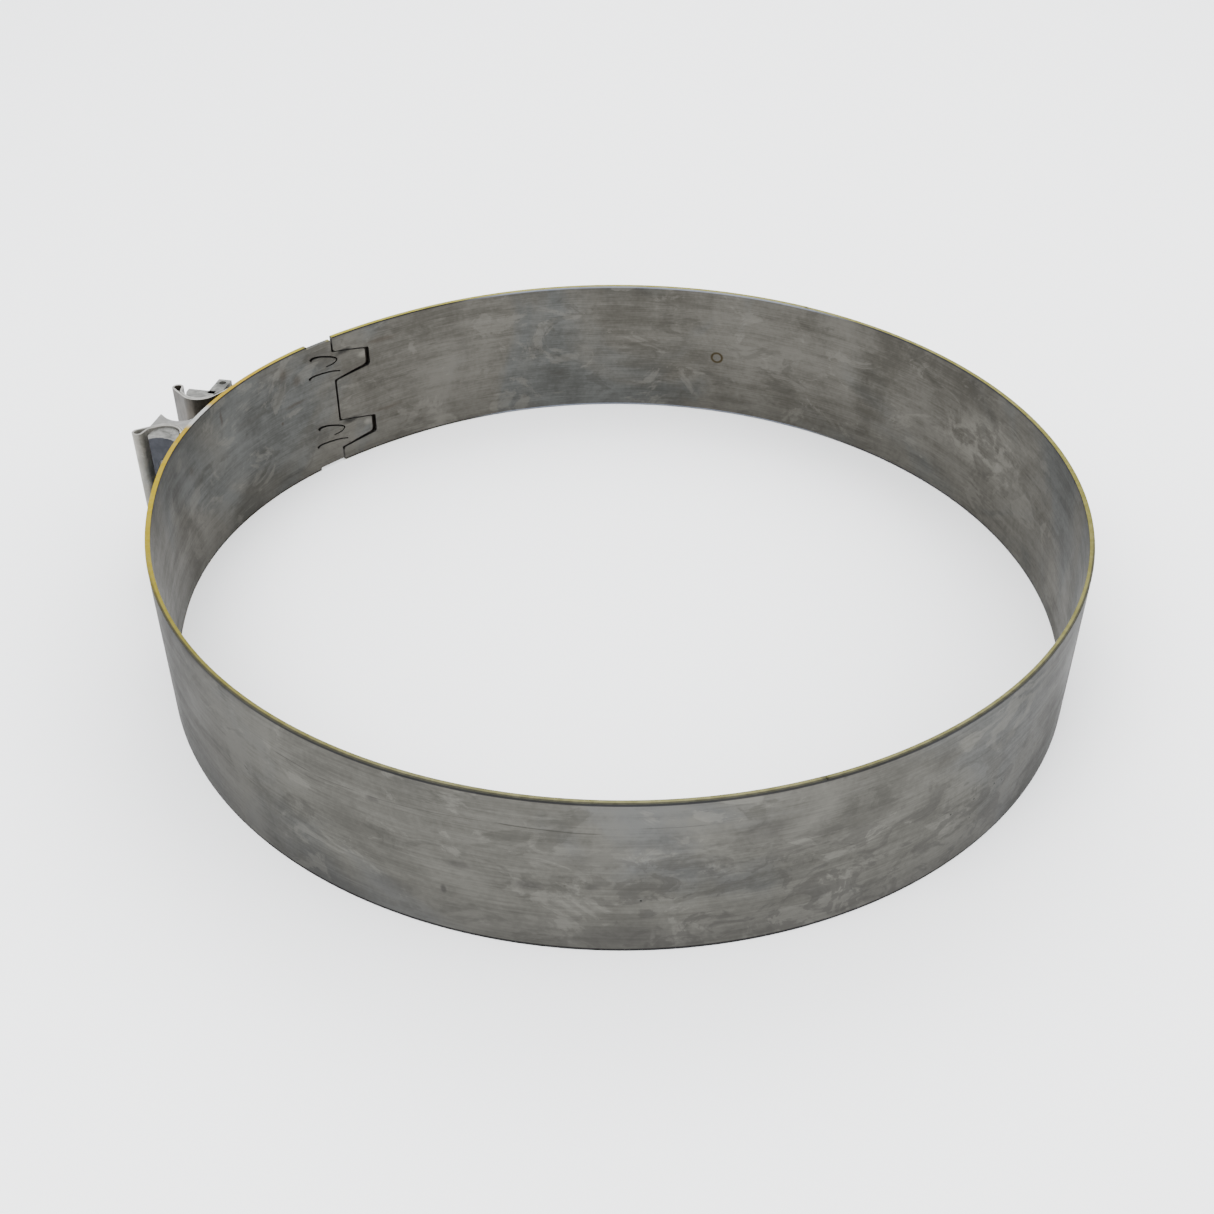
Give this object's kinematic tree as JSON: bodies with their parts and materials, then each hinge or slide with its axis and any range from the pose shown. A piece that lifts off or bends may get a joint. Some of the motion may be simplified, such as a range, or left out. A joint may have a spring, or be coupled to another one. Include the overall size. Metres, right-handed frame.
{
  "type": "pipe repair clamp",
  "caption": "Wide stainless flat-band pipe clamp with a tongue-and-notch seam and a bolted saddle closure.",
  "frame": {"origin": "centre of the pipe bore at mid-width", "axes": "+Z along the pipe axis, +X to the right and +Y to the back as the clamp is seen from the front, closure on the left"},
  "size_m": [0.3007, 0.283, 0.0508],
  "materials": {
    "band_steel": "cold-rolled stainless strip with faint lengthwise streaks",
    "saddle_steel": "satin stainless sheet",
    "bar_steel": "machined, slightly dull",
    "block_steel": "drawn section with sawn ends",
    "bolt_steel": "smooth rolled",
    "washer_steel": "stamped"
  },
  "bodies": {
    "near_side": {"tongue_band": "band_steel", "near_saddle": "saddle_steel", "near_bar": "bar_steel"},
    "far_side": {"notched_band": "band_steel", "far_saddle": "saddle_steel"},
    "bolt_carriage": {"far_bar": "bar_steel", "head_washer_upper": "washer_steel", "head_washer_lower": "washer_steel"},
    "upper_bolt": {"bolt_upper": "bolt_steel"},
    "lower_bolt": {"bolt_lower": "bolt_steel"},
    "block": {"reaction_block": "block_steel"}
  },
  "joints": [
    {"name": "bolt_carriage_slide", "type": "slide", "parent": "near_side", "child": "bolt_carriage", "axis": [0.1959, 0.9806, 0], "range_m": [-0.00051, 0.00501]},
    {"name": "upper_bolt_turn", "type": "hinge", "parent": "bolt_carriage", "child": "upper_bolt", "pos_m": [-0.14231, 0.06607, 0.01], "axis": [0.1959, 0.9806, 0], "range_deg": [-181, 1801]},
    {"name": "lower_bolt_turn", "type": "hinge", "parent": "bolt_carriage", "child": "lower_bolt", "pos_m": [-0.14231, 0.06607, -0.01], "axis": [0.1959, 0.9806, 0], "range_deg": [-181, 1801]},
    {"name": "ring_flex", "type": "hinge", "parent": "near_side", "child": "far_side", "pos_m": [0.14058, 0.007, 0], "axis": [0, 0, -1], "range_deg": [-0.1, 0.99]},
    {"name": "block_slide", "type": "slide", "parent": "near_side", "child": "block", "axis": [0.1959, 0.9806, 0], "range_m": [0, 0.0128]}
  ],
  "couplings": [
    {"joint": "bolt_carriage_slide", "follows": "ring_flex", "m_per_rad": 0.289},
    {"joint": "upper_bolt_turn", "follows": "ring_flex", "ratio": 1815.8},
    {"joint": "lower_bolt_turn", "follows": "ring_flex", "ratio": 1815.8}
  ]
}
